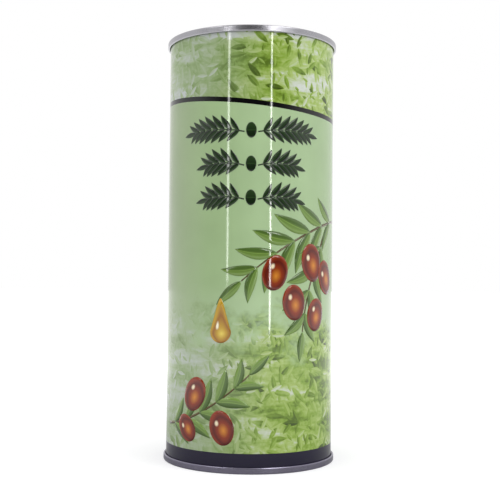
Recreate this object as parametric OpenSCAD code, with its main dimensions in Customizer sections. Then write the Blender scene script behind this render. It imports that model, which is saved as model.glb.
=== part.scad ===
// Round one-litre oil tin with double-seamed ends and a pull-up pouring spout in its lid.
// Millimetres. +Z is up, -Y is the front of the label, and the origin is at the centre of the
// resting plane. The spout is drawn pushed down, closed and with its handles folded flat.

/* [Can] */
// Outside diameter of the plain body wall
body_d = 83.7; // [80:0.1:90]
// Height from the resting plane to the top of the upper seam
can_h = 211; // [150:1:260]
// Thickness of the tinplate
plate_t = 0.25; // [0.2:0.01:0.26]
// Width of the raised overlap of the welded side seam
weld_w = 1.2; // [0.8:0.1:3]

/* [Double seams] */
// Height of each seam
seam_h = 3.15; // [3.1:0.05:3.6]
// Gap between neighbouring layers of plate, where the compound sits
seam_gap = 0.165; // [0.15:0.005:0.2]
// Bend radius at the corners of the seam's flat edge
seam_corner_r = 0.55; // [0.45:0.05:0.65]

/* [Ends] */
// Depth of the upper end's panel below the rim
top_panel_drop = 6.8; // [6.4:0.1:8]
// Depth of the upper end's countersink groove below the rim
top_groove_drop = 8.8; // [8.6:0.1:10]
// Height of the lower end's panel above the resting plane
bottom_panel_drop = 3.4; // [3:0.1:5]
// Height of the lower end's countersink groove above the resting plane
bottom_groove_drop = 5.4; // [5.2:0.1:7]
// Height of the expansion rings stamped in both ends
bead_h = 0.8; // [0.4:0.1:1.2]

/* [Neck and crimp] */
// Inside diameter of the neck drawn up in the middle of the upper end
neck_d = 34.8; // [34.8:0.1:36]
// Depth of the top of the neck's curl below the rim
curl_drop = 2.7; // [2.7:0.1:3]
// Bend radius of the curl
curl_r = 0.95; // [0.8:0.05:1]
// Thickness of the gasket under the flange
gasket_t = 0.6; // [0.4:0.1:0.6]

/* [Spout base] */
// Thickness of the moulded base's flange and of its floor
base_wall = 1.2; // [1:0.05:1.3]
// Inside diameter of the well that takes the closed cap
well_d = 32.4; // [32:0.1:32.4]
// Depth of the well's floor below the rim
well_drop = 12.7; // [12.7:0.1:13.5]
// Number of ribs under the well's floor
rib_count = 6; // [3:1:12]

/* [Spout tube] */
// Bore of the pouring tube
bore_d = 21; // [18:0.1:21.2]
// Outside diameter of the pouring tube
tube_d = 24; // [23.8:0.1:24]
// How far the tube pulls up out of the base
spout_travel = 22; // [14:1:24]
// Depth of the tube's mouth below the rim when it is pushed down
mouth_drop = 3.55; // [3.55:0.05:3.6]

/* [Cap] */
// Outside diameter of the cap
cap_d = 29.6; // [29.4:0.1:30]
// Height of the cap's top edge above the rim
cap_rise = 1.4; // [1.4:0.05:1.6]
// Number of grip flutes round the cap
flute_count = 36; // [20:1:44]

/* [Handles] */
// Outside diameter of the ring that the two half-ring handles make
bail_d = 27; // [26.4:0.1:27]
// Width of the handle's band
bail_w = 3; // [2.6:0.1:3.2]
// Thickness of the handle's band
bail_t = 1.8; // [1.6:0.1:1.8]

/* [Hidden] */

// Facets of a large and of a small round in the preview
$fn = 96;
small_fn = 32;
// Steps of a bend of a quarter turn
bend_steps = 5;
// Smallest clearance between pieces that are assembled tight
tight = 0.02;
// Clearance between pieces that are stacked on one another
seat_gap = 0.05;
// Radial clearance of a piece that slides in another
slide_fit = 0.1;
// How far a rib, key or post runs into the wall that carries it
rooted = 0.3;
// How far a cutting shape runs past what it cuts
over = 1;

// Can wall and seam layers, as radii of the middle of the plate
body_r = body_d / 2;
wall_r = body_r - plate_t / 2;
layer_step = plate_t + seam_gap;
cover_hook_r = wall_r + layer_step;
body_hook_r = cover_hook_r + layer_step;
seaming_r = body_hook_r + layer_step;
chuck_r = wall_r - plate_t - tight;
hook_bend_r = (seaming_r - cover_hook_r) / 2;
flange_bend_r = (body_hook_r - wall_r) / 2;

// Depths inside a seam, measured from its flat edge
cover_hook_top = 1.15;
body_hook_end = 2.35;
flange_gap = 0.08;
flange_drop = plate_t + flange_gap + plate_t / 2 + flange_bend_r;

// Chuck wall's slope below the seam, countersink groove and panel corner of an end
chuck_slope = 0.08;
chuck_straight = 0.2;
groove_r = 0.85;
panel_corner_r = 0.85;

// Expansion rings, as radii of their middles, and their half width
top_beads = [34.5, 27.5];
bottom_beads = [34, 27, 20];
bead_half_w = 2.2;
bead_steps = 10;

// Neck, curl and crimp ring
neck_r = neck_d / 2 + plate_t / 2;
neck_bend_r = 1;
curl_z = can_h - curl_drop - plate_t / 2 - curl_r;
curl_end = -80;
curl_out_r = neck_r + 2 * curl_r + plate_t / 2;
curl_top_z = can_h - curl_drop;

// Spout base and the gasket under its flange
base_fit = 0.2;
gasket_set_in = 0.2;
gasket_z = curl_top_z + seat_gap;
flange_z = gasket_z + gasket_t + seat_gap;
flange_top_z = flange_z + base_wall;
flange_r = curl_out_r + 0.45;
well_r = well_d / 2;
well_out_r = neck_d / 2 - base_fit;
well_floor_z = can_h - well_drop;
lip_r = tube_d / 2 + slide_fit;
skirt_r = tube_d / 2 + 0.8;
sleeve_r = skirt_r + slide_fit;
sleeve_wall = 1.2;
sleeve_chamfer = 0.4;
base_round = 0.8;
flange_round = 0.4;
rib_t = 1.1;
rib_h = 6;
rib_tip_h = 0.8;

crimp_fit = 0.12;
crimp_r = flange_r + crimp_fit + plate_t / 2;
crimp_corner_r = 0.5;
crimp_hook_r = 0.45;
crimp_in_r = well_r + 1.6;
crimp_tip_r = neck_r + 1.1;
crimp_z = flange_top_z + tight + plate_t / 2;
crimp_hook_z = curl_z - curl_r - plate_t - seat_gap;

// Spout tube
tube_r = tube_d / 2;
bore_r = bore_d / 2;
mouth_z = can_h - mouth_drop;
mouth_lip = 0.3;
mouth_round = 0.8;
skirt_h = 3;
skirt_chamfer = 0.4;
seal_groove = [1, 2];
seal_groove_d = 0.35;
seal_groove_slope = 0.2;
lip_z = well_floor_z - base_wall;
skirt_top_z = lip_z - slide_fit - spout_travel;
tube_foot_z = skirt_top_z - skirt_h;
sleeve_foot_z = tube_foot_z - 1;
key_w = 2;
key_r = sleeve_r - 0.15;
key_top_z = well_floor_z - slide_fit;
key_slack = 0.2;
collar_z = well_floor_z + 2 * slide_fit;
collar_h = 0.8;
collar_r = 14.4;

// Tamper band, hooked under a bead on the tube
band_z = collar_z + collar_h + seat_gap;
band_h = 1.85;
band_chamfer = 0.2;
band_in_r = tube_r + 1.05;
band_hook_r = tube_r + 0.35;
band_hook_h = 0.9;
bead_r = tube_r + 0.75;
bead_rise = 0.9;
bead_z = band_z + band_hook_h + 3 * seat_gap;

// Tear seal
membrane_t = 0.6;
membrane_z = mouth_z - 7;
tear_line_r = bore_r - 1.3;
tear_line_w = 0.5;
pull_ring_r = 6.4;
pull_ring_w = 2.2;
pull_ring_t = 1.2;
pull_ring_z = membrane_z + membrane_t + 0.8;
post_w = 2.4;
post_d = 1.8;

// Cap, liner and handles
cap_r = cap_d / 2;
cap_in_r = tube_r + 1.1;
liner_z = mouth_z + seat_gap;
liner_t = 1;
liner_fit = 0.15;
web_z = liner_z + liner_t + tight;
web_t = 1.4;
recess_z = web_z + web_t;
recess_r = bail_d / 2 + 0.4;
cap_top_z = can_h + cap_rise;
cap_foot_z = band_z + band_h + 0.3;
cap_edge_r = 0.4;
cap_chamfer = 0.3;
flute_r = 0.6;
flute_depth = 0.3;
flute_top_z = cap_top_z - 1.2;
finger_w = 9;

knuckle_r = bail_t / 2 + 0.1;
knuckle_gap = 0.3;
hinge_y = 2.2;
hinge_z = recess_z + knuckle_gap + knuckle_r;
bail_r = bail_d / 2;
bail_in_r = bail_r - bail_w;
pin_r = 0.55;
pin_hole_r = pin_r + slide_fit;
lug_w = 1.9;
lug_gap = 0.2;
lug_half_y = hinge_y + lug_w;
lug_sweep_y = lug_half_y + 2 * lug_gap;
lug_out_x = sqrt(bail_in_r * bail_in_r - lug_sweep_y * lug_sweep_y) - lug_gap;
pin_tip_x = lug_out_x - lug_w + lug_gap;
knuckle_in = lug_out_x + 0.25;
knuckle_out = bail_r - 0.35;

// Points along an arc round [x, y], from one angle to another
function arc(x, y, r, from, to) =
    let (steps = ceil(bend_steps * abs(to - from) / 90))
    [for (i = [0 : steps]) let (a = from + (to - from) * i / steps) [x + r * cos(a), y + r * sin(a)]];

// Points over one expansion ring of a panel at height z, from its outer edge inwards
function bead(r, z, rise) =
    [for (i = [0 : bead_steps])
        [r + bead_half_w * (1 - 2 * i / bead_steps), z + rise * (1 - cos(360 * i / bead_steps)) / 2]];

// The same points without any that repeats the one before it
function distinct(points) =
    [for (i = [0 : len(points) - 1]) if (i == 0 || norm(points[i] - points[i - 1]) > 0.001) points[i]];

function unit(v) = v / norm(v);

// Sideways step from point i of a path to the edge of a plate one unit thick to each side
function mitre(path, i) =
    let (
        last = len(path) - 1,
        before = unit(path[max(i, 1)] - path[max(i, 1) - 1]),
        after = unit(path[min(i, last - 1) + 1] - path[min(i, last - 1)]),
        side = unit([-before[1] - after[1], before[0] + after[0]])
    )
    side / (side * [-before[1], before[0]]);

// Closed outline of a plate of thickness t that is bent along a path
function plate(path, t) =
    let (last = len(path) - 1)
    concat(
        [for (i = [0 : last]) path[i] + mitre(path, i) * t / 2],
        [for (i = [last : -1 : 0]) path[i] - mitre(path, i) * t / 2]
    );

// The same outline raised by dz
function raised(points, dz) = [for (p = points) [p[0], p[1] + dz]];

// The same outline turned upside down about the resting plane
function upside_down(points) = [for (p = points) [p[0], -p[1]]];

// Path of an end's edge through its seam, down the chuck wall and round the groove,
// from the cover hook's tip inwards, with the seam's flat edge at height 0
function end_edge(panel_drop, groove_drop) =
    let (
        top = -plate_t / 2,
        groove_z = -groove_drop + plate_t / 2 + groove_r,
        groove_out_r = chuck_r - chuck_slope * (groove_drop - seam_h),
        panel_r = groove_out_r - 2 * groove_r
    )
    concat(
        [[cover_hook_r, -cover_hook_top]],
        arc(cover_hook_r + hook_bend_r, -seam_h + plate_t / 2 + hook_bend_r, hook_bend_r, 180, 360),
        arc(seaming_r - seam_corner_r, top - seam_corner_r, seam_corner_r, 0, 90),
        arc(chuck_r + seam_corner_r, top - seam_corner_r, seam_corner_r, 90, 180),
        [[chuck_r, -seam_h - chuck_straight]],
        arc(groove_out_r - groove_r, groove_z, groove_r, 0, -180),
        arc(panel_r - panel_corner_r, -panel_drop - plate_t / 2 - panel_corner_r, panel_corner_r, 0, 90)
    );

module can_body() {
    flange_path = distinct(concat(
        [[body_hook_r, body_hook_end]],
        arc(cover_hook_r, flange_drop, flange_bend_r, 0, -180),
        arc(cover_hook_r, can_h - flange_drop, flange_bend_r, 180, 0),
        [[body_hook_r, can_h - body_hook_end]]
    ));
    weld_angle = weld_w / body_r * 180 / PI;
    weld_rise = 0.12;
    weld_margin = seam_h + 1;
    color([0.65, 0.75, 0.57]) {
        rotate_extrude() polygon(plate(flange_path, plate_t));
        rotate([0, 0, 90 - weld_angle / 2])
            rotate_extrude(angle = weld_angle)
                translate([body_r - plate_t / 2, weld_margin])
                    square([plate_t / 2 + weld_rise, can_h - 2 * weld_margin]);
    }
}

module top_end() {
    panel_z = -top_panel_drop - plate_t / 2;
    path = distinct(concat(
        end_edge(top_panel_drop, top_groove_drop),
        bead(top_beads[0], panel_z, bead_h),
        bead(top_beads[1], panel_z, bead_h),
        arc(neck_r + neck_bend_r, panel_z + neck_bend_r, neck_bend_r, -90, -180),
        arc(neck_r + curl_r, curl_z - can_h, curl_r, 180, curl_end)
    ));
    color([0.52, 0.5, 0.54])
        rotate_extrude() polygon(raised(plate(path, plate_t), can_h));
}

module bottom_end() {
    panel_z = -bottom_panel_drop - plate_t / 2;
    path = distinct(concat(
        end_edge(bottom_panel_drop, bottom_groove_drop),
        bead(bottom_beads[0], panel_z, bead_h),
        bead(bottom_beads[1], panel_z, bead_h),
        bead(bottom_beads[2], panel_z, bead_h),
        [[0, panel_z]]
    ));
    color([0.45, 0.42, 0.48])
        rotate_extrude() polygon(upside_down(plate(path, plate_t)));
}

// Sealing compound between the body hook and the seaming wall, with the flat edge at height 0
function compound_outline() =
    let (r = flange_bend_r + plate_t / 2 + seam_gap / 2)
    plate(distinct(concat(
        arc(cover_hook_r, -flange_drop, r, 55, 0),
        [[cover_hook_r + r, -body_hook_end]]
    )), seam_gap - 2 * tight);

module top_seam_compound() {
    color([0.78, 0.72, 0.6])
        rotate_extrude() polygon(raised(compound_outline(), can_h));
}

module bottom_seam_compound() {
    color([0.78, 0.72, 0.6])
        rotate_extrude() polygon(upside_down(compound_outline()));
}

module neck_gasket() {
    color([0.25, 0.25, 0.25])
        translate([0, 0, gasket_z])
            difference() {
                cylinder(r = curl_out_r - gasket_set_in, h = gasket_t);
                translate([0, 0, -over]) cylinder(r = neck_r + gasket_set_in, h = gasket_t + 2 * over);
            }
}

module crimp_ring() {
    path = distinct(concat(
        [[crimp_in_r, crimp_z]],
        arc(crimp_r - crimp_corner_r, crimp_z - crimp_corner_r, crimp_corner_r, 90, 0),
        arc(crimp_r - crimp_hook_r, crimp_hook_z + crimp_hook_r, crimp_hook_r, 0, -90),
        [[crimp_tip_r, crimp_hook_z]]
    ));
    color([0.62, 0.6, 0.64])
        rotate_extrude() polygon(plate(path, plate_t));
}

module spout_base() {
    outline = distinct(concat(
        [[lip_r, well_floor_z]],
        arc(well_r - base_round, well_floor_z + base_round, base_round, -90, 0),
        [[well_r, flange_top_z]],
        arc(flange_r - flange_round, flange_top_z - flange_round, flange_round, 90, 0),
        [[flange_r, flange_z], [well_out_r, flange_z]],
        arc(well_out_r - base_round, lip_z + base_round, base_round, 0, -90),
        [[sleeve_r + sleeve_wall, lip_z], [sleeve_r + sleeve_wall, sleeve_foot_z + sleeve_chamfer]],
        [[sleeve_r + sleeve_wall - sleeve_chamfer, sleeve_foot_z], [sleeve_r, sleeve_foot_z]],
        [[sleeve_r, lip_z], [lip_r, lip_z]]
    ));
    slot_w = key_w + 2 * key_slack;
    slot_r = sleeve_r + slide_fit;
    slot_z = lip_z - rooted;
    color([0.93, 0.92, 0.88])
        difference() {
            union() {
                rotate_extrude() polygon(outline);
                for (i = [0 : rib_count - 1])
                    rotate([0, 0, (i + 0.5) * 360 / rib_count]) rib();
            }
            for (side = [0, 180])
                rotate([0, 0, side])
                    translate([lip_r - over, -slot_w / 2, slot_z])
                        cube([slot_r - lip_r + over, slot_w, well_floor_z + over - slot_z]);
        }
}

// Triangular gusset between the well's floor and the guide sleeve
module rib() {
    reach = well_out_r - base_round - sleeve_r - sleeve_wall;
    translate([sleeve_r + sleeve_wall - rooted, rib_t / 2, lip_z + rooted])
        rotate([90, 0, 0])
            linear_extrude(rib_t)
                polygon([[0, 0], [reach + rooted, 0], [reach + rooted, -rib_tip_h], [0, -rib_h]]);
}

module spout_tube() {
    groove_low_z = tube_foot_z + seal_groove[0];
    groove_high_z = tube_foot_z + seal_groove[1];
    groove_floor_r = skirt_r - seal_groove_d;
    lip_out_r = tube_r + mouth_lip;
    outline = distinct(concat(
        [[bore_r, tube_foot_z], [skirt_r - skirt_chamfer, tube_foot_z]],
        [[skirt_r, tube_foot_z + skirt_chamfer], [skirt_r, groove_low_z]],
        [[groove_floor_r, groove_low_z + seal_groove_slope]],
        [[groove_floor_r, groove_high_z - seal_groove_slope], [skirt_r, groove_high_z]],
        [[skirt_r, skirt_top_z], [tube_r, skirt_top_z]],
        [[tube_r, collar_z], [collar_r, collar_z], [collar_r, collar_z + collar_h]],
        [[tube_r, collar_z + collar_h], [tube_r, bead_z], [bead_r, bead_z], [tube_r, bead_z + bead_rise]],
        [[tube_r, mouth_z - 2 * mouth_round], [lip_out_r, mouth_z - mouth_round]],
        arc(lip_out_r - mouth_lip / 2, mouth_z - mouth_lip / 2, mouth_lip / 2, 0, 90),
        arc(bore_r + mouth_round, mouth_z - mouth_round, mouth_round, 90, 180)
    ));
    color([0.95, 0.93, 0.86]) {
        rotate_extrude() polygon(outline);
        for (side = [0, 180])
            rotate([0, 0, side])
                translate([tube_r - rooted, -key_w / 2, skirt_top_z - rooted])
                    cube([key_r - tube_r + rooted, key_w, key_top_z - skirt_top_z + rooted]);
    }
}

module tear_seal() {
    inner = pull_ring_r - pull_ring_w / 2;
    outer = pull_ring_r + pull_ring_w / 2;
    membrane = [
        [0, membrane_z],
        [bore_r - tight, membrane_z],
        [bore_r - tight, membrane_z + membrane_t],
        [tear_line_r + tear_line_w, membrane_z + membrane_t],
        [tear_line_r, membrane_z + membrane_t / 3],
        [tear_line_r - tear_line_w, membrane_z + membrane_t],
        [0, membrane_z + membrane_t]
    ];
    color([0.95, 0.93, 0.86]) {
        rotate_extrude() polygon(membrane);
        translate([-post_w / 2, pull_ring_r - post_d / 2, membrane_z + membrane_t / 2])
            cube([post_w, post_d, pull_ring_z - membrane_z]);
        difference() {
            translate([0, 0, pull_ring_z]) cylinder(r = outer, h = pull_ring_t);
            translate([0, 0, pull_ring_z - over]) cylinder(r = inner, h = pull_ring_t + 2 * over);
        }
    }
}

module tamper_band() {
    outline = [
        [band_hook_r, band_z],
        [cap_r - band_chamfer, band_z],
        [cap_r, band_z + band_chamfer],
        [cap_r, band_z + band_h],
        [band_in_r, band_z + band_h],
        [band_in_r, band_z + band_hook_h],
        [band_hook_r, band_z + band_hook_h]
    ];
    color([0.2, 0.3, 0.14])
        rotate_extrude() polygon(outline);
}

module cap_liner() {
    color([0.96, 0.96, 0.94])
        translate([0, 0, liner_z]) cylinder(r = cap_in_r - liner_fit, h = liner_t);
}

module cap() {
    outline = distinct(concat(
        [[0, web_z], [cap_in_r, web_z], [cap_in_r, cap_foot_z + cap_chamfer]],
        [[cap_in_r + cap_chamfer, cap_foot_z], [cap_r, cap_foot_z]],
        arc(cap_r - cap_edge_r, cap_top_z - cap_edge_r, cap_edge_r, 0, 90),
        [[recess_r, cap_top_z], [recess_r, recess_z], [0, recess_z]]
    ));
    color([0.2, 0.3, 0.14])
        difference() {
            union() {
                rotate_extrude() polygon(outline);
                for (side = [0, 180]) rotate([0, 0, side]) lug();
            }
            for (i = [0 : flute_count - 1])
                rotate([0, 0, (i + 0.5) * 360 / flute_count])
                    translate([cap_r + flute_r - flute_depth, 0, cap_foot_z - over])
                        cylinder(r = flute_r, h = flute_top_z - cap_foot_z + over, $fn = small_fn);
            for (y = [-hinge_y, hinge_y])
                translate([-lug_out_x - over, y, hinge_z])
                    rotate([0, 90, 0])
                        cylinder(r = pin_hole_r, h = 2 * (lug_out_x + over), $fn = small_fn);
            for (side = [0, 180])
                rotate([0, 0, side])
                    translate([-finger_w / 2, recess_r - over, recess_z + seat_gap])
                        cube([finger_w, cap_r - recess_r + 2 * over, cap_top_z - recess_z + over]);
        }
}

// Block on the cap's floor with the holes that two handles snap into, on the +X side
module lug() {
    base = recess_z - web_t / 2;
    round_r = 0.6;
    top = cap_top_z - base;
    translate([lug_out_x - lug_w, 0, base])
        rotate([90, 0, 90])
            linear_extrude(lug_w)
                polygon(distinct(concat(
                    [[-lug_half_y, 0], [lug_half_y, 0]],
                    arc(lug_half_y - round_r, top - round_r, round_r, 0, 90),
                    arc(-lug_half_y + round_r, top - round_r, round_r, 90, 180)
                )));
}

// Half-ring handle on the -Y side, lying flat
module bail() {
    translate([0, 0, hinge_z - bail_t / 2])
        linear_extrude(bail_t)
            difference() {
                circle(r = bail_r);
                circle(r = bail_in_r);
                translate([-bail_r - over, -hinge_y]) square([2 * (bail_r + over), bail_r + hinge_y + over]);
            }
    for (side = [0, 180])
        translate([0, -hinge_y, hinge_z])
            rotate([0, side, 0])
                rotate([0, 90, 0]) {
                    translate([0, 0, knuckle_in])
                        cylinder(r = knuckle_r, h = knuckle_out - knuckle_in, $fn = small_fn);
                    translate([0, 0, pin_tip_x])
                        cylinder(r = pin_r, h = knuckle_in + rooted - pin_tip_x, $fn = small_fn);
                }
}

module front_bail() {
    color([0.2, 0.3, 0.14]) bail();
}

module rear_bail() {
    color([0.2, 0.3, 0.14]) rotate([0, 0, 180]) bail();
}

can_body();
top_end();
bottom_end();
top_seam_compound();
bottom_seam_compound();
neck_gasket();
crimp_ring();
spout_base();
spout_tube();
tear_seal();
tamper_band();
cap_liner();
cap();
front_bail();
rear_bail();
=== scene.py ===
from math import atan2, cos, pi, radians, sin

import bmesh
import bpy
from mathutils import Matrix, Vector


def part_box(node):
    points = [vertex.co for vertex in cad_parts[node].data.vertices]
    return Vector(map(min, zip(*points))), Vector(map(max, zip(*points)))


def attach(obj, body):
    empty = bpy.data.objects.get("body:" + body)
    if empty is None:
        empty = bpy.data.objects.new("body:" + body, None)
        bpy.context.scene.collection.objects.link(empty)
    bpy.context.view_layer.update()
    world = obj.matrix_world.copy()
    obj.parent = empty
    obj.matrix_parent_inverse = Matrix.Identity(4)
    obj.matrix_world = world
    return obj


# Looks of a round litre oil tin with a pull-up spout. Lengths in the comments are millimetres.

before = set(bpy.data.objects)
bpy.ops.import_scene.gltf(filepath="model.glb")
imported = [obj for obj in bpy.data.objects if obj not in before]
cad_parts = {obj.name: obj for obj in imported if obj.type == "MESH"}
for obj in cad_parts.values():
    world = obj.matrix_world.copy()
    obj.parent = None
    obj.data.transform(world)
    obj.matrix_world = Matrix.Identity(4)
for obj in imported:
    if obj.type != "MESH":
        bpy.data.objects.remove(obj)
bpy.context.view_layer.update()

MM = 0.001
METRE_IN_MM = 1000

# Outside radius of the tin's printed wall
BODY_R = 41.85


# Colour and node helpers

def linear(code):
    """Linear RGBA of an sRGB hex colour."""
    channels = [int(code[i:i + 2], 16) / 255 for i in (1, 3, 5)]
    return [c / 12.92 if c <= 0.04045 else ((c + 0.055) / 1.055) ** 2.4 for c in channels] + [1]


def add(tree, kind, inputs=None, stops=None, **settings):
    """Adds a node with its settings, ramp stops, values and links, and returns it."""
    node = tree.nodes.new(kind)
    for name, value in settings.items():
        setattr(node, name, value)
    for place, (position, code) in enumerate(stops or []):
        ramp = node.color_ramp.elements
        stop = ramp[place] if place < 2 else ramp.new(position)
        stop.position = position
        stop.color = linear(code) if isinstance(code, str) else (code, code, code, 1)
    for name, value in (inputs or {}).items():
        if isinstance(value, bpy.types.Node):
            value = value.outputs[0]
        if isinstance(value, bpy.types.NodeSocket):
            tree.links.new(value, node.inputs[name])
        else:
            node.inputs[name].default_value = value
    return node


def new_material(name):
    """An empty node material and its tree."""
    material = bpy.data.materials.new(name)
    material.use_nodes = True
    material.node_tree.nodes.clear()
    return material, material.node_tree


def finish_material(tree, inputs):
    """Puts a Principled shader with these inputs on the material's output."""
    shader = add(tree, "ShaderNodeBsdfPrincipled", inputs)
    add(tree, "ShaderNodeOutputMaterial", {"Surface": shader})


# Varnished print: white-coated tinplate printed by offset and roller-varnished,
# so the inks look even and deep and sit under one smooth, sharp gloss.
VARNISH = {"Roughness": 0.07, "IOR": 1.5}
NAVY = "#0a0126"
STRIPE_INK = "#050506"
BARE_PLATE = "#a5a2a0"
WELD_SCORCH = "#55524f"
BARE_ROUGHNESS = 0.3

# Cells per mm of the print's noises: orange peel, ground clouding, leaf clumps and brush strokes
PEEL_SCALE = 0.33
CLOUD_SCALE = 0.04
CLUMP_SCALE = 0.06
BRUSH_SCALE = 0.45
# Drifts of mist, drawn out sideways: cells per mm along and up
DRIFT_SCALE = (0.018, 0.075, 1)


def varnish_bump(tree, chart):
    """Very faint orange peel of roller varnish, in lumps 3 mm across."""
    lumps = add(tree, "ShaderNodeTexNoise", {"Vector": chart, "Scale": PEEL_SCALE, "Detail": 1.0})
    return add(tree, "ShaderNodeBump", {"Height": lumps, "Strength": 0.004, "Distance": 0.0001})


def label_chart(tree):
    """The print's own flat chart in mm: sideways from the front's middle, and up from the floor."""
    place = add(tree, "ShaderNodeTexCoord").outputs["Object"]
    in_mm = add(tree, "ShaderNodeVectorMath", {0: place, 3: METRE_IN_MM}, operation="SCALE")
    axes = add(tree, "ShaderNodeSeparateXYZ", {0: in_mm})
    front = add(tree, "ShaderNodeMath", {0: axes.outputs["Y"], 1: -1}, operation="MULTIPLY")
    angle = add(tree, "ShaderNodeMath", {0: axes.outputs["X"], 1: front}, operation="ARCTAN2")
    side = add(tree, "ShaderNodeMath", {0: angle, 1: BODY_R}, operation="MULTIPLY")
    chart = add(tree, "ShaderNodeCombineXYZ", {0: side, 1: axes.outputs["Z"]})
    return chart, side, axes


# Zones of the print: heights above the floor, and half widths
NAVY_TOP = 9.4
GROVE_TOP = 82.0
GROVE_FADE = 30.0
GROVE_UNEVEN = 40.0
STRIPE_Z = 174.6
STRIPE_TILT = 4.2
STRIPE_HALF = 1.15
MARGIN_HALF = 3.0
WELD_HALF = 0.6
WELD_PITCH_SCALE = 0.35
# Where the mist over the thicket begins to thin and where it ends, from left to right
MIST_FROM = -30.0
MIST_TO = 14.0

# A printed leaf's half length and half width, as shares of its cell
LEAF_HALF_LENGTH = 0.5
LEAF_HALF_WIDTH = 0.15
# Layers of leaves: cell size in mm, turn in degrees, seed, share of cells filled, and tone
LEAF_LAYERS = (
    (4.5, 20, 41.0, 0.6, 0.3),
    (10.0, -20, 3.0, 0.75, 0.06),
    (7.5, 60, 11.0, 0.7, 0.26),
    (8.5, 10, 23.0, 0.5, 0.45),
    (6.5, 110, 31.0, 0.35, 0.7),
)


def leaf_layer(tree, chart, under, size, turn, seed, share, tone):
    """Prints a layer of scattered leaves of a size in mm over the tones under it.

    share is how many places hold a leaf, and tone is how light the layer is.
    """
    place = add(tree, "ShaderNodeMapping", {0: chart, 1: (seed, seed * 1.7, 0),
                                            3: (1 / size, 1 / size, 1)})
    spots = add(tree, "ShaderNodeTexVoronoi", {"Vector": place, "Scale": 1.0, "Randomness": 0.85},
                voronoi_dimensions="2D")
    chance = add(tree, "ShaderNodeSeparateColor", {0: spots.outputs["Color"]})
    off = add(tree, "ShaderNodeVectorMath", {0: place, 1: spots.outputs["Position"]},
              operation="SUBTRACT")
    angle = add(tree, "ShaderNodeMath", {0: chance.outputs["Blue"], 1: 1.5, 2: radians(turn)},
                operation="MULTIPLY_ADD")
    leaf_axes = add(tree, "ShaderNodeVectorRotate", {"Vector": off, "Angle": angle},
                    rotation_type="Z_AXIS")
    leaf_axes = add(tree, "ShaderNodeSeparateXYZ", {0: leaf_axes})
    along = add(tree, "ShaderNodeMath", {0: leaf_axes.outputs["X"], 1: 2.0}, operation="POWER")
    half = add(tree, "ShaderNodeMath", {0: along, 1: -LEAF_HALF_WIDTH / LEAF_HALF_LENGTH ** 2,
                                        2: LEAF_HALF_WIDTH}, operation="MULTIPLY_ADD")
    across = add(tree, "ShaderNodeMath", {0: leaf_axes.outputs["Y"]}, operation="ABSOLUTE")
    inside = add(tree, "ShaderNodeMath", {0: half, 1: across}, operation="SUBTRACT")
    inside = add(tree, "ShaderNodeMapRange", {0: inside, 1: -0.01, 2: 0.03})
    here = add(tree, "ShaderNodeMath", {0: chance.outputs["Red"], 1: share}, operation="LESS_THAN")
    here = add(tree, "ShaderNodeMath", {0: inside, 1: here}, operation="MULTIPLY")

    # Each leaf has its own tone, a darker half and a pale midrib
    own = add(tree, "ShaderNodeMapRange", {0: chance.outputs["Green"], 3: tone - 0.16, 4: tone + 0.16})
    side = add(tree, "ShaderNodeMapRange", {0: leaf_axes.outputs["Y"], 1: -0.02, 2: 0.02,
                                            3: -0.07, 4: 0.07})
    rib = add(tree, "ShaderNodeMapRange", {0: across, 1: 0.0, 2: 0.03, 3: 0.12, 4: 0.0})
    own = add(tree, "ShaderNodeMath", {0: own, 1: side}, operation="ADD")
    own = add(tree, "ShaderNodeMath", {0: own, 1: rib}, operation="ADD")
    return add(tree, "ShaderNodeMix", {"Factor": here, "A": under, "B": own})


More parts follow.
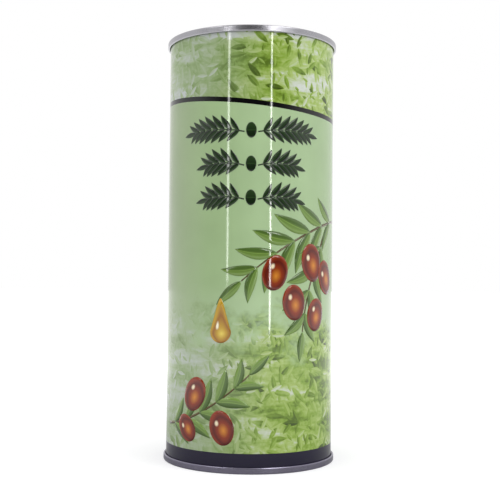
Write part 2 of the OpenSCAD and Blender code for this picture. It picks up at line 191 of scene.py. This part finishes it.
def printed_plate():
    """Lithographed tinplate: green ground, printed leaves above and below, stripe and navy band."""
    material, tree = new_material("lithographed_tinplate")
    chart, side, axes = label_chart(tree)
    height = axes.outputs["Z"]

    # Pale green ground with painted shade across the tin: greyer and darker on the left, lightest just right
    # of the middle, a little darker again at the right edge
    across = add(tree, "ShaderNodeMapRange", {0: axes.outputs["X"], 1: -BODY_R, 2: BODY_R})
    ground_with_painted_shade = add(tree, "ShaderNodeValToRGB", {0: across}, stops=[
        (0.0, "#98a884"), (0.25, "#a0bb88"), (0.55, "#afca9a"), (1.0, "#a2bb8e")])

    # Soft printed clouding of the ground, in patches about 25 mm across
    cloud = add(tree, "ShaderNodeTexNoise", {"Vector": chart, "Scale": CLOUD_SCALE, "Detail": 3.0})
    cloudy = add(tree, "ShaderNodeMapRange", {0: cloud, 1: 0.3, 2: 0.7, 3: 0.95, 4: 1.05})
    ground_with_painted_shade = add(tree, "ShaderNodeVectorMath", {0: ground_with_painted_shade, 3: cloudy}, operation="SCALE")

    # Thicket: drifts of mist and shade, with layers of leaves over them
    clump = add(tree, "ShaderNodeTexNoise", {"Vector": chart, "Scale": CLUMP_SCALE, "Detail": 4.0,
                                             "Roughness": 0.6})
    drift_place = add(tree, "ShaderNodeMapping", {0: chart, 3: DRIFT_SCALE})
    drift = add(tree, "ShaderNodeTexNoise", {"Vector": drift_place, "Scale": 1.0, "Detail": 5.0,
                                             "Roughness": 0.6})
    brush = add(tree, "ShaderNodeTexNoise", {"Vector": chart, "Scale": BRUSH_SCALE, "Detail": 2.0})
    tone = add(tree, "ShaderNodeMath", {0: brush, 1: 0.22, 2: -0.11}, operation="MULTIPLY_ADD")
    tone = add(tree, "ShaderNodeMath", {0: drift, 1: tone}, operation="ADD")
    tone = add(tree, "ShaderNodeMapRange", {0: tone, 1: 0.38, 2: 0.64, 3: 0.15, 4: 1.0})
    for layer in LEAF_LAYERS:
        tone = leaf_layer(tree, chart, tone, *layer)
    veil = add(tree, "ShaderNodeMapRange", {0: clump, 1: 0.42, 2: 0.66, 3: 0.0, 4: 0.7})
    misty_tone = add(tree, "ShaderNodeMapRange", {0: drift, 1: 0.35, 2: 0.65, 3: 0.45, 4: 1.0})
    tone = add(tree, "ShaderNodeMix", {"Factor": veil, "A": tone, "B": misty_tone})
    bright = add(tree, "ShaderNodeValToRGB", {0: tone}, stops=[
        (0.0, "#3b4e10"), (0.22, "#5e7a1e"), (0.45, "#86a53c"), (0.7, "#a9c06c"), (1.0, "#d0d6cc")])
    misty = add(tree, "ShaderNodeValToRGB", {0: tone}, stops=[
        (0.0, "#748c50"), (0.35, "#8fa672"), (0.65, "#a5b496"), (1.0, "#bec4c2")])
    mist = add(tree, "ShaderNodeMapRange", {0: axes.outputs["X"], 1: MIST_FROM, 2: MIST_TO},
               interpolation_type="SMOOTHSTEP")
    grove = add(tree, "ShaderNodeMix", {"Factor": mist, "A": misty, "B": bright}, data_type="RGBA")

    # The lower thicket fades upwards into the ground along an uneven edge
    skyline = add(tree, "ShaderNodeMapRange", {0: clump, 3: -GROVE_UNEVEN, 4: GROVE_UNEVEN})
    lifted = add(tree, "ShaderNodeMath", {0: height, 1: skyline}, operation="ADD")
    low = add(tree, "ShaderNodeMapRange", {0: lifted, 1: GROVE_TOP, 2: GROVE_TOP - GROVE_FADE},
              interpolation_type="SMOOTHSTEP")
    stripe_z = add(tree, "ShaderNodeMath", {0: axes.outputs["X"], 1: -STRIPE_TILT / BODY_R, 2: STRIPE_Z},
                   operation="MULTIPLY_ADD")
    over_stripe = add(tree, "ShaderNodeMath", {0: height, 1: stripe_z}, operation="GREATER_THAN")
    in_grove = add(tree, "ShaderNodeMath", {0: low, 1: over_stripe}, operation="MAXIMUM")
    print_colour = add(tree, "ShaderNodeMix", {"Factor": in_grove, "A": ground_with_painted_shade,
                                               "B": grove.outputs["Result"]}, data_type="RGBA")

    # Dark arched stripe and navy foot band
    off_stripe = add(tree, "ShaderNodeMath", {0: height, 1: stripe_z}, operation="SUBTRACT")
    off_stripe = add(tree, "ShaderNodeMath", {0: off_stripe}, operation="ABSOLUTE")
    on_stripe = add(tree, "ShaderNodeMath", {0: off_stripe, 1: STRIPE_HALF}, operation="LESS_THAN")
    print_colour = add(tree, "ShaderNodeMix", {"Factor": on_stripe, "A": print_colour.outputs["Result"],
                                               "B": linear(STRIPE_INK)}, data_type="RGBA")
    on_foot = add(tree, "ShaderNodeMath", {0: height, 1: NAVY_TOP}, operation="LESS_THAN")
    print_colour = add(tree, "ShaderNodeMix", {"Factor": on_foot, "A": print_colour.outputs["Result"],
                                               "B": linear(NAVY)}, data_type="RGBA")

    # Bare margin beside the welded seam, lacquered, with the heat-darkened line of the weld itself
    behind = add(tree, "ShaderNodeMath", {0: side}, operation="ABSOLUTE")
    on_margin = add(tree, "ShaderNodeMath", {0: behind, 1: pi * BODY_R - MARGIN_HALF},
                    operation="GREATER_THAN")
    nuggets = add(tree, "ShaderNodeTexWave", {"Vector": chart, "Scale": WELD_PITCH_SCALE, "Distortion": 0.6},
                  bands_direction="Y")
    scorch = add(tree, "ShaderNodeMapRange", {0: behind, 1: pi * BODY_R - 1.5 * WELD_HALF,
                                              2: pi * BODY_R - WELD_HALF, 3: 0.0, 4: 0.75})
    scorch = add(tree, "ShaderNodeMath", {0: nuggets, 1: scorch}, operation="MULTIPLY")
    bare = add(tree, "ShaderNodeMix", {"Factor": scorch, "A": linear(BARE_PLATE),
                                       "B": linear(WELD_SCORCH)}, data_type="RGBA")
    plate_colour = add(tree, "ShaderNodeMix", {"Factor": on_margin, "A": print_colour.outputs["Result"],
                                               "B": bare.outputs["Result"]}, data_type="RGBA")
    gloss = add(tree, "ShaderNodeMapRange", {0: on_margin, 3: VARNISH["Roughness"], 4: BARE_ROUGHNESS})
    finish_material(tree, VARNISH | {"Base Color": plate_colour.outputs["Result"], "Metallic": on_margin,
                                     "Roughness": gloss, "Normal": varnish_bump(tree, chart)})
    return material


# Cells per metre of tinplate's rolling lines, drawn out along X, and of its smudges
ROLLING_SCALE = (400, 9000, 9000)
SMUDGE_SCALE = 120.0


def tinplate(name, code, roughness):
    """Bright tinplate: electrolytic tin on rolled steel, so a cool grey mirror with fine rolling lines."""
    material, tree = new_material(name)
    place = add(tree, "ShaderNodeTexCoord").outputs["Object"]
    grain = add(tree, "ShaderNodeMapping", {0: place, 3: ROLLING_SCALE})
    lines = add(tree, "ShaderNodeTexNoise", {"Vector": grain, "Scale": 1.0, "Detail": 2.0})
    smudge = add(tree, "ShaderNodeTexNoise", {"Vector": place, "Scale": SMUDGE_SCALE, "Detail": 4.0})
    gloss = add(tree, "ShaderNodeMath", {0: lines, 1: 0.12, 2: roughness - 0.06}, operation="MULTIPLY_ADD")
    gloss = add(tree, "ShaderNodeMath", {0: smudge, 1: 0.1, 2: gloss}, operation="MULTIPLY_ADD")
    bump = add(tree, "ShaderNodeBump", {"Height": lines, "Strength": 0.05, "Distance": 0.0001})
    finish_material(tree, {"Base Color": linear(code), "Metallic": 1.0, "Roughness": gloss, "Normal": bump})
    return material


# Cells per metre of the satin patches of a moulding and of the pores of rubber and foam
SATIN_SCALE = 90.0
PORE_SCALE = 2500.0


def moulded(name, code, roughness, see_into, grain_mm):
    """Injection-moulded polyolefin: satin skin with a fine mould texture and light soaking into it."""
    material, tree = new_material(name)
    place = add(tree, "ShaderNodeTexCoord").outputs["Object"]
    skin = add(tree, "ShaderNodeTexNoise", {"Vector": place, "Scale": METRE_IN_MM / grain_mm,
                                            "Detail": 3.0})
    patch = add(tree, "ShaderNodeTexNoise", {"Vector": place, "Scale": SATIN_SCALE, "Detail": 2.0})
    gloss = add(tree, "ShaderNodeMath", {0: patch, 1: 0.14, 2: roughness - 0.07}, operation="MULTIPLY_ADD")
    bump = add(tree, "ShaderNodeBump", {"Height": skin, "Strength": 0.12, "Distance": 0.00005})
    finish_material(tree, {"Base Color": linear(code), "Roughness": gloss, "IOR": 1.5, "Normal": bump,
                           "Subsurface Weight": see_into, "Subsurface Radius": (0.002, 0.002, 0.0015),
                           "Subsurface Scale": 1.0})
    return material


def dull(name, code, roughness):
    """Rubber, compound or foam: matt, with small pores."""
    material, tree = new_material(name)
    place = add(tree, "ShaderNodeTexCoord").outputs["Object"]
    pores = add(tree, "ShaderNodeTexVoronoi", {"Vector": place, "Scale": PORE_SCALE})
    bump = add(tree, "ShaderNodeBump", {"Height": pores.outputs["Distance"], "Strength": 0.2,
                                        "Distance": 0.0001})
    finish_material(tree, {"Base Color": linear(code), "Roughness": roughness, "Normal": bump})
    return material


def ink(name, dark, light):
    """Ink printed on the plate: its own UV map 'print' runs along and across each shape."""
    material, tree = new_material(name)
    place = add(tree, "ShaderNodeUVMap", uv_map="print")
    axes = add(tree, "ShaderNodeSeparateXYZ", {0: place})
    across = add(tree, "ShaderNodeMath", {0: axes.outputs["Y"], 1: 0.5}, operation="SUBTRACT")
    across = add(tree, "ShaderNodeMath", {0: across}, operation="ABSOLUTE")
    rib = add(tree, "ShaderNodeMapRange", {0: across, 1: 0.0, 2: 0.09, 3: 1.0, 4: 0.0})
    half = add(tree, "ShaderNodeMapRange", {0: axes.outputs["Y"], 1: 0.3, 2: 0.8, 3: 0.15, 4: 0.75})
    tone = add(tree, "ShaderNodeMath", {0: rib, 1: half}, operation="MAXIMUM")
    colour = add(tree, "ShaderNodeMix", {"Factor": tone, "A": linear(dark), "B": linear(light)},
                 data_type="RGBA")
    finish_material(tree, VARNISH | {"Base Color": colour.outputs["Result"]})
    return material


def glowing_ink(name, dark, middle, light, spark):
    """Ink shaded like a round drop or fruit: dark rim, lit heart and a small pale spark."""
    material, tree = new_material(name)
    place = add(tree, "ShaderNodeUVMap", uv_map="print")
    heart = add(tree, "ShaderNodeVectorMath", {0: place, 1: (0.56, 0.42, 0)}, operation="DISTANCE")
    colour = add(tree, "ShaderNodeValToRGB", {0: heart.outputs["Value"]}, stops=[
        (0.0, light), (0.22, middle), (0.4, dark), (0.56, middle)])
    gleam = add(tree, "ShaderNodeVectorMath", {0: place, 1: (0.34, 0.66, 0)}, operation="DISTANCE")
    gleam = add(tree, "ShaderNodeMapRange", {0: gleam.outputs["Value"], 1: 0.04, 2: 0.1, 3: 1.0, 4: 0.0})
    colour = add(tree, "ShaderNodeMix", {"Factor": gleam, "A": colour, "B": linear(spark)}, data_type="RGBA")
    finish_material(tree, VARNISH | {"Base Color": colour.outputs["Result"]})
    return material


# Mesh helpers

def piece(bm, name, material, body):
    """Turns a bmesh into a finished piece that rides on a body."""
    mesh = bpy.data.meshes.new(name)
    bm.to_mesh(mesh)
    bm.free()
    mesh.materials.append(material)
    for polygon in mesh.polygons:
        polygon.use_smooth = True
    thing = bpy.data.objects.new(name, mesh)
    bpy.context.scene.collection.objects.link(thing)
    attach(thing, body)


# Thickness of an ink's film, and how much higher each patch lies than the last
PRINT_THICK = 0.03
PRINT_STEP = 0.0004
# Distance within which the points of a patch's pointed ends become one
MERGE_DISTANCE = 0.004


def add_patch(bm, outline, steps_along, steps_across):
    """Adds a thin closed patch whose point (along, across) outline(along, across) places on the chart.

    Each patch lies a hair higher than the one before it, so that overlapping ones stay apart.
    """
    uv = bm.loops.layers.uv.get("print") or bm.loops.layers.uv.new("print")
    level = len(bm.verts) / (2 * (steps_along + 1) * (steps_across + 1)) * PRINT_STEP
    verts = bmesh.ops.create_grid(bm, x_segments=steps_along, y_segments=steps_across, size=0.5)["verts"]
    faces = list({face for v in verts for face in v.link_faces})
    for face in faces:
        for loop in face.loops:
            loop[uv].uv = (loop.vert.co.x + 0.5, loop.vert.co.y + 0.5)
    for v in verts:
        sideways, up = outline(v.co.x + 0.5, v.co.y)
        v.co = Vector((sideways, up, 0.0))
    raised = bmesh.ops.extrude_face_region(bm, geom=faces)
    tops = [part for part in raised["geom"] if isinstance(part, bmesh.types.BMVert)]
    bmesh.ops.translate(bm, verts=tops, vec=(0, 0, PRINT_THICK + level))


def wrap_print(bm, level):
    """Wraps the flat chart round the can, in metres, proud of the plate by a level in mm."""
    for v in bm.verts:
        angle = v.co.x / BODY_R
        radius = BODY_R + level + v.co.z
        v.co = Vector((radius * sin(angle), -radius * cos(angle), v.co.y)) * MM
    bmesh.ops.remove_doubles(bm, verts=bm.verts, dist=MERGE_DISTANCE * MM)
    bmesh.ops.recalc_face_normals(bm, faces=bm.faces)


def leaf(start, angle, length, width, bend):
    """Outline of an olive leaf from its stalk end, heading at an angle, bent sideways."""
    heading, across_way = radians(angle), radians(angle + 90)

    def place(along, across):
        swell = width * sin(pi * along ** 0.85) ** 0.9 if 0 < along < 1 else 0.0
        off = across * swell + bend * 4 * along * (1 - along)
        return (start[0] + along * length * cos(heading) + off * cos(across_way),
                start[1] + along * length * sin(heading) + off * sin(across_way))
    return place


def stem(points, width):
    """Outline of a tapering stem along a bent line of three points."""
    a, b, c = points

    def place(along, across):
        keep = 1 - along
        x = keep * keep * a[0] + 2 * keep * along * b[0] + along * along * c[0]
        y = keep * keep * a[1] + 2 * keep * along * b[1] + along * along * c[1]
        dx = 2 * keep * (b[0] - a[0]) + 2 * along * (c[0] - b[0])
        dy = 2 * keep * (b[1] - a[1]) + 2 * along * (c[1] - b[1])
        run = (dx * dx + dy * dy) ** 0.5
        half = across * width * (1 - 0.6 * along)
        return x - dy / run * half, y + dx / run * half
    return place


def stem_point(points, along):
    """Point and heading in degrees at a share of the way along a stem."""
    x, y = stem(points, 0)(along, 0)
    x2, y2 = stem(points, 0)(min(along + 0.02, 1.0), 0)
    x1, y1 = stem(points, 0)(max(along - 0.02, 0.0), 0)
    return (x, y), atan2(y2 - y1, x2 - x1) * 180 / pi


def add_sprig(leaves, stems, points, pairs, leaf_length, leaf_width, stem_width):
    """Adds one sprig: a stem with pairs of leaves, longest at its middle, and a tip leaf."""
    add_patch(stems, stem(points, stem_width), 16, 1)
    for i in range(pairs):
        along = (i + 0.7) / (pairs + 0.5)
        foot, heading = stem_point(points, along)
        size = 0.72 + 0.34 * sin(pi * along ** 0.9)
        for hand in (-1, 1):
            spread = 50 - 16 * along
            add_patch(leaves, leaf(foot, heading + hand * spread, leaf_length * size,
                                   leaf_width * size, -hand * 0.06 * leaf_length), 10, 4)
    tip, heading = stem_point(points, 1.0)
    add_patch(leaves, leaf(tip, heading, leaf_length * 0.8, leaf_width * 0.8, 0), 10, 4)


# Camera as in the photograph: looking a little up from under half the tin's height
CAMERA_PLACE = (0, -0.4865, 0.0916)
CAMERA_PITCH = 1.669
CAMERA_ROLL = 0.54
FOCAL_PX = 948.4
PHOTO_PX = 500
SENSOR_MM = 36

camera_data = bpy.data.cameras.new("camera")
camera_data.sensor_width = SENSOR_MM
camera_data.lens = FOCAL_PX / PHOTO_PX * SENSOR_MM
camera = bpy.data.objects.new("camera", camera_data)
camera.location = CAMERA_PLACE
camera.rotation_euler = (radians(90 + CAMERA_PITCH), radians(-CAMERA_ROLL), 0)
bpy.context.scene.collection.objects.link(camera)
bpy.context.scene.camera = camera

# Materials of the CAD nodes
PLATE = printed_plate()
# The bottom end's tinplate is darker and more purple than the lid's: a painted reflection of the shaded
# floor at the tin's foot
RIM_TIN_PAINTED_REFLECTION = tinplate("tinplate_seam_painted_reflection", "#848090", 0.24)
LID_TIN = tinplate("tinplate_lid", "#a4a3a8", 0.24)
CRIMP_TIN = tinplate("tinplate_crimp", "#b4b1b3", 0.3)
COMPOUND = dull("seam_compound", "#b8a98c", 0.7)
RUBBER = dull("gasket_rubber", "#1d1d1d", 0.75)
FOAM = dull("foamed_polyethylene", "#f0efe9", 0.8)
NATURAL_PLASTIC = moulded("natural_polyethylene", "#e9e5d6", 0.38, 0.35, 0.4)
CAP_PLASTIC = moulded("dark_green_polypropylene", "#24401a", 0.34, 0.05, 0.5)

for name, material in {
    "can_body": PLATE, "top_end": LID_TIN, "bottom_end": RIM_TIN_PAINTED_REFLECTION, "crimp_ring": CRIMP_TIN,
    "top_seam_compound": COMPOUND, "bottom_seam_compound": COMPOUND, "neck_gasket": RUBBER,
    "cap_liner": FOAM, "spout_base": NATURAL_PLASTIC, "spout_tube": NATURAL_PLASTIC,
    "tear_seal": NATURAL_PLASTIC, "tamper_band": CAP_PLASTIC, "cap": CAP_PLASTIC,
    "front_bail": CAP_PLASTIC, "rear_bail": CAP_PLASTIC,
}.items():
    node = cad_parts[name]
    for slot in node.material_slots:
        slot.material = material

# Printed motifs: sprigs in the title's place, a fruiting branch with a drop, and a wreath on each side
INK_LEAF = ink("dark_green_ink", "#0b1a09", "#2c4422")
BRANCH_LEAF = ink("leaf_green_ink", "#3a5620", "#86a650")
STEM_INK = ink("brown_ink", "#43341a", "#6a5a2c")
OLIVE_INK = glowing_ink("amber_ink", "#5a1408", "#8c3210", "#d78a2c", "#f8e8c4")
OIL_INK = glowing_ink("golden_ink", "#9a6313", "#c39a24", "#ead257", "#fff8d8")
# Heights of the motifs over the plate, so that leaves lie over stems and fruit over leaves
STEM_LEVEL = 0.01
LEAF_LEVEL = 0.03
FRUIT_LEVEL = 0.06


def disc(centre, width, height, turn):
    """Outline of an oval made from a square patch by rounding it."""
    def place(along, across):
        u, v = 2 * along - 1, 2 * across
        x = u * (1 - v * v / 2) ** 0.5 * width / 2
        y = v * (1 - u * u / 2) ** 0.5 * height / 2
        a = radians(turn)
        return centre[0] + x * cos(a) - y * sin(a), centre[1] + x * sin(a) + y * cos(a)
    return place


def drop(centre, width, height):
    """Outline of a hanging drop: a round foot drawn up to a point."""
    round_place = disc((0, 0), width, width, 0)

    def place(along, across):
        x, y = round_place(along, across)
        rise = max(0.0, y) / (width / 2)
        return (centre[0] + x * (1 - 0.45 * rise ** 1.3),
                centre[1] + y + rise ** 2 * (height - width))
    return place


def printed(bm, name, material, level):
    """Wraps a flat motif round the tin as a piece of its print."""
    wrap_print(bm, level)
    piece(bm, name, material, "tin")


def title_ornament():
    """Three tiers of mirrored dark sprigs with a fruit between them, where a tin carries its title."""
    leaves, stems, fruit = bmesh.new(), bmesh.new(), bmesh.new()
    for z, reach, pairs in ((161.2, 33.0, 7), (145.3, 25.0, 5), (129.3, 25.0, 5)):
        for hand in (-1, 1):
            points = ((hand * 3.2, z - 0.8), (hand * reach * 0.5, z + 1.6), (hand * (reach - 4), z - 0.6))
            add_sprig(leaves, stems, points, pairs, leaf_length=9.4, leaf_width=2.9, stem_width=0.7)
        add_patch(fruit, disc((0, z), 5.0, 7.4, 0), 12, 12)
    printed(leaves, "title_sprig_leaves", INK_LEAF, LEAF_LEVEL)
    printed(stems, "title_sprig_stems", INK_LEAF, STEM_LEVEL)
    printed(fruit, "title_fruit", INK_LEAF, FRUIT_LEVEL)


def fruiting_branches():
    """Branches with leaves and amber fruit, two at the right and one low at the left, and a golden drop."""
    leaves, stems, fruit, oil = bmesh.new(), bmesh.new(), bmesh.new(), bmesh.new()
    for points, pairs, length, width in (
            (((58.0, 120.0), (26.0, 118.0), (-4.0, 90.0)), 6, 21.0, 6.0),
            (((44.0, 114.0), (30.0, 92.0), (27.0, 66.0)), 4, 18.0, 5.4),
            (((-50.0, 20.0), (-24.0, 22.0), (0.0, 46.0)), 5, 17.0, 5.2)):
        add_sprig(leaves, stems, points, pairs, length, width, stem_width=1.5)
    for centre, width, height, turn in (
            ((33.0, 99.0), 13.5, 18.5, 12), ((12.0, 94.0), 12.5, 17.0, -14), ((45.0, 92.0), 13.0, 17.5, 24),
            ((22.0, 80.0), 12.5, 17.0, 4), ((36.0, 74.0), 12.0, 16.0, -10), ((-28.0, 36.0), 12.5, 17.0, -24),
            ((-13.0, 21.0), 12.0, 16.5, 14), ((-33.0, 19.5), 10.5, 14.0, 36)):
        add_patch(fruit, disc(centre, width, height, turn), 12, 12)
    add_patch(oil, drop((-14.0, 66.0), 10.5, 21.0), 16, 16)
    printed(leaves, "branch_leaves", BRANCH_LEAF, LEAF_LEVEL)
    printed(stems, "branch_stems", STEM_INK, STEM_LEVEL)
    printed(fruit, "branch_olives", OLIVE_INK, FRUIT_LEVEL)
    printed(oil, "oil_drop", OIL_INK, FRUIT_LEVEL)


def side_wreaths():
    """An open wreath of two dark sprigs round one amber fruit on each side of the tin."""
    leaves, stems, fruit = bmesh.new(), bmesh.new(), bmesh.new()
    for middle in (-90.0, 90.0):
        for hand in (-1, 1):
            points = ((middle + hand * 1.5, 104.0), (middle + hand * 23, 110.0), (middle + hand * 9, 152.0))
            add_sprig(leaves, stems, points, 6, leaf_length=10.5, leaf_width=3.2, stem_width=0.8)
        add_patch(fruit, disc((middle, 130.0), 10.5, 15.0, 0), 12, 12)
    printed(leaves, "side_wreath_leaves", INK_LEAF, LEAF_LEVEL)
    printed(stems, "side_wreath_stems", INK_LEAF, STEM_LEVEL)
    printed(fruit, "side_wreath_olives", OLIVE_INK, FRUIT_LEVEL)


title_ornament()
fruiting_branches()
side_wreaths()

# Threads of the closure: a two-start right-hand screw of 5 mm lead
THREAD_LEAD = 5.0
THREAD_TURNS = 0.95
THREAD_STEPS = 64
THREAD_STARTS = 2
THREAD_FOOT_HALF = 0.75
THREAD_CREST_HALF = 0.25
THREAD_ROOTED = 0.15


def thread(name, root, crest, foot, body, material):
    """A helical ridge from a root radius to a crest radius, drawn up from a height by a screw spin."""
    bm = bmesh.new()
    buried = root - THREAD_ROOTED if root < crest else root + THREAD_ROOTED
    profile = ((buried, -THREAD_FOOT_HALF), (crest, -THREAD_CREST_HALF),
               (crest, THREAD_CREST_HALF), (buried, THREAD_FOOT_HALF))
    for start in range(THREAD_STARTS):
        verts = [bm.verts.new((r * MM, 0, (foot + z) * MM)) for r, z in profile]
        face = bm.faces.new(verts)
        bmesh.ops.rotate(bm, verts=verts, cent=(0, 0, 0),
                         matrix=Matrix.Rotation(start * 2 * pi / THREAD_STARTS, 3, "Z"))
        bmesh.ops.spin(bm, geom=[face], cent=(0, 0, 0), axis=(0, 0, 1), angle=THREAD_TURNS * 2 * pi,
                       steps=THREAD_STEPS, dvec=(0, 0, THREAD_LEAD * THREAD_TURNS / THREAD_STEPS * MM),
                       use_duplicate=False)
    bmesh.ops.recalc_face_normals(bm, faces=bm.faces)
    piece(bm, name, material, body)


# Radii of the tube's outside and the cap's inside, ridge heights, and where the threads start
MOUTH_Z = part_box("spout_tube")[1].z * METRE_IN_MM
TUBE_R = 12.0
TUBE_RIDGE = 0.65
TUBE_THREAD_DROP = 5.9
CAP_IN_R = 13.1
CAP_RIDGE = 0.55
CAP_THREAD_DROP = 4.65
thread("tube_thread", TUBE_R, TUBE_R + TUBE_RIDGE, MOUTH_Z - TUBE_THREAD_DROP,
       "spout", NATURAL_PLASTIC)
thread("cap_thread", CAP_IN_R, CAP_IN_R - CAP_RIDGE, MOUTH_Z - CAP_THREAD_DROP,
       "cap", CAP_PLASTIC)

# Bridges that tie the tamper band to the cap until it is first opened
BAND_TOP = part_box("tamper_band")[1].z
BRIDGE_COUNT = 12
BRIDGE_R = 14.1
BRIDGE_SIZE = (0.7, 0.9, 0.36)
BRIDGE_RISE = 0.08


def tamper_bridges():
    """Small posts on the band that reach up towards the cap's foot."""
    bm = bmesh.new()
    for i in range(BRIDGE_COUNT):
        made = bmesh.ops.create_cube(bm, size=1.0)["verts"]
        bmesh.ops.scale(bm, verts=made, vec=Vector(BRIDGE_SIZE) * MM)
        bmesh.ops.translate(bm, verts=made, vec=(BRIDGE_R * MM, 0, BAND_TOP + BRIDGE_RISE * MM))
        bmesh.ops.rotate(bm, verts=made, cent=(0, 0, 0),
                         matrix=Matrix.Rotation(i * 2 * pi / BRIDGE_COUNT, 3, "Z"))
    piece(bm, "tamper_bridges", CAP_PLASTIC, "spout")


tamper_bridges()

# Studio: white floor and surroundings, broad soft lamps and two narrow strips for the varnish
FLOOR_RADIUS = 6.0
# Glow of the floor to the eye beside the tin, and between which distances in metres it turns white
FLOOR_GLOW_NEAR = 0.5
SHADOW_FROM = 0.05
SHADOW_TO = 0.5


def floor_material():
    """Matt pale sweep that turns pure white to the eye away from the tin, whose soft shadow stays."""
    material, tree = new_material("studio_floor")
    place = add(tree, "ShaderNodeTexCoord").outputs["Object"]
    away = add(tree, "ShaderNodeVectorMath", {0: place}, operation="LENGTH")
    far = add(tree, "ShaderNodeMapRange", {0: away.outputs["Value"], 1: SHADOW_FROM, 2: SHADOW_TO})
    looked_at = add(tree, "ShaderNodeMapRange", {0: far, 3: FLOOR_GLOW_NEAR, 4: 1.0})
    rays = add(tree, "ShaderNodeLightPath")
    looked_at = add(tree, "ShaderNodeMath", {0: rays.outputs["Is Camera Ray"], 1: looked_at},
                    operation="MULTIPLY")
    mirrored = add(tree, "ShaderNodeMath", {0: rays.outputs["Is Glossy Ray"], 1: far},
                   operation="MULTIPLY")
    glow = add(tree, "ShaderNodeMath", {0: looked_at, 1: mirrored}, operation="MAXIMUM")
    finish_material(tree, {"Base Color": linear("#c6c6c8"), "Roughness": 0.9, "Specular IOR Level": 0.0,
                           "Emission Color": (1, 1, 1, 1), "Emission Strength": glow})
    return material


floor_mesh = bmesh.new()
bmesh.ops.create_circle(floor_mesh, cap_ends=True, segments=96, radius=FLOOR_RADIUS)
floor_data = bpy.data.meshes.new("floor")
floor_mesh.to_mesh(floor_data)
floor_mesh.free()
floor_data.materials.append(floor_material())
floor = bpy.data.objects.new("floor", floor_data)
bpy.context.scene.collection.objects.link(floor)

# Strength of the surroundings as light on matt colours, and as mirrored on the photographer's side
AMBIENT = 0.74
FRONT_DARK = 0.06
world = bpy.data.worlds.new("studio")
world.use_nodes = True
world.node_tree.nodes.clear()
sky = world.node_tree
rays = add(sky, "ShaderNodeLightPath")
toward = add(sky, "ShaderNodeSeparateXYZ", {0: add(sky, "ShaderNodeTexCoord").outputs["Generated"]})

# The photographer's side of the studio is unlit, so that dark inks stay dark under the varnish
unlit = add(sky, "ShaderNodeMapRange", {0: toward.outputs["Y"], 1: -0.92, 2: -0.1, 3: FRONT_DARK, 4: 1.0},
            interpolation_type="SMOOTHSTEP")
mirrored = add(sky, "ShaderNodeMath", {0: rays.outputs["Is Glossy Ray"], 1: unlit}, operation="MULTIPLY")
seen = add(sky, "ShaderNodeMath", {0: rays.outputs["Is Camera Ray"], 1: rays.outputs["Is Transmission Ray"]},
           operation="MAXIMUM")
seen = add(sky, "ShaderNodeMath", {0: seen, 1: mirrored}, operation="MAXIMUM")
lighting = add(sky, "ShaderNodeMath", {0: rays.outputs["Is Diffuse Ray"], 1: AMBIENT}, operation="MULTIPLY")
strength = add(sky, "ShaderNodeMath", {0: seen, 1: lighting}, operation="MAXIMUM")
background = add(sky, "ShaderNodeBackground", {"Color": (1, 1, 1, 1), "Strength": strength})
add(sky, "ShaderNodeOutputWorld", {"Surface": background})
bpy.context.scene.world = world


def lamp(name, azimuth, distance, height, width, tall, power, mirrored, lighting):
    """A lamp at an angle from the front, turned to the tin's middle.

    Strips and panels are only mirrored in gloss, and soft boxes only light the matt colours.
    """
    data = bpy.data.lights.new(name, "AREA")
    data.shape = "RECTANGLE"
    data.size, data.size_y = width, tall
    data.energy = power
    thing = bpy.data.objects.new(name, data)
    a = radians(azimuth)
    thing.location = (distance * sin(a), -distance * cos(a), height)
    thing.rotation_euler = (Vector((0, 0, 0.1)) - thing.location).to_track_quat("-Z", "Y").to_euler()
    thing.visible_glossy = mirrored
    thing.visible_diffuse = lighting
    bpy.context.scene.collection.objects.link(thing)


# Each lamp's angle from the front, distance, height, width, length and watts
lamp("strip_right", 26.6, 1.1, 0.25, 0.035, 1.1, 2.3, True, False)
lamp("panel_right", 40, 1.1, 0.96, 0.6, 0.7, 9.0, True, False)
lamp("panel_left", -50, 1.1, 0.96, 0.5, 0.7, 3.0, True, False)
lamp("strip_left", -30.6, 1.1, 0.42, 0.05, 0.7, 1.1, True, False)
lamp("box_left", -70, 1.0, 0.6, 0.7, 1.0, 2.6, False, True)
lamp("box_right", 60, 1.0, 0.6, 0.7, 1.0, 4.6, False, True)
lamp("box_top", 0, 0.25, 1.4, 0.9, 0.9, 3.6, False, True)

bpy.context.scene.view_settings.view_transform = "Standard"
